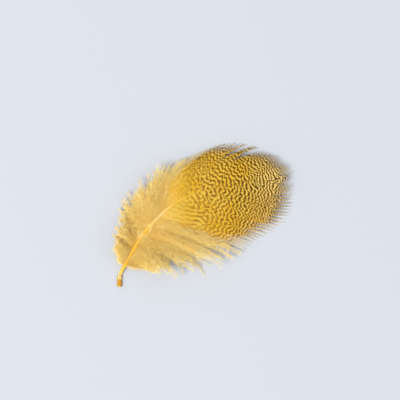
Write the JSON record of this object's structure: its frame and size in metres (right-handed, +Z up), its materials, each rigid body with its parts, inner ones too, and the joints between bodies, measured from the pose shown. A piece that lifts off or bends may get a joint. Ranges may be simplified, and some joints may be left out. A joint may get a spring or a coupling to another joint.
{
  "type": "wood duck flank feather",
  "caption": "Dyed gold flank feather with a finely barred rounded vane, a downy base and a bare quill, lying face up.",
  "frame": {"origin": "on the surface it lies on, under the middle of its box", "axes": "+X from the quill to the tip, +Y to the feather's left, +Z up out of its outer face"},
  "size_m": [0.0746, 0.0416, 0.0097],
  "materials": {
    "vane": "silky gold barbs with fine brown bars",
    "down": "pale gold down, soft and loose",
    "quill": "smooth horn, brown at the plucked end"
  },
  "bodies": {
    "root": {"feather": "vane"}
  },
  "joints": []
}
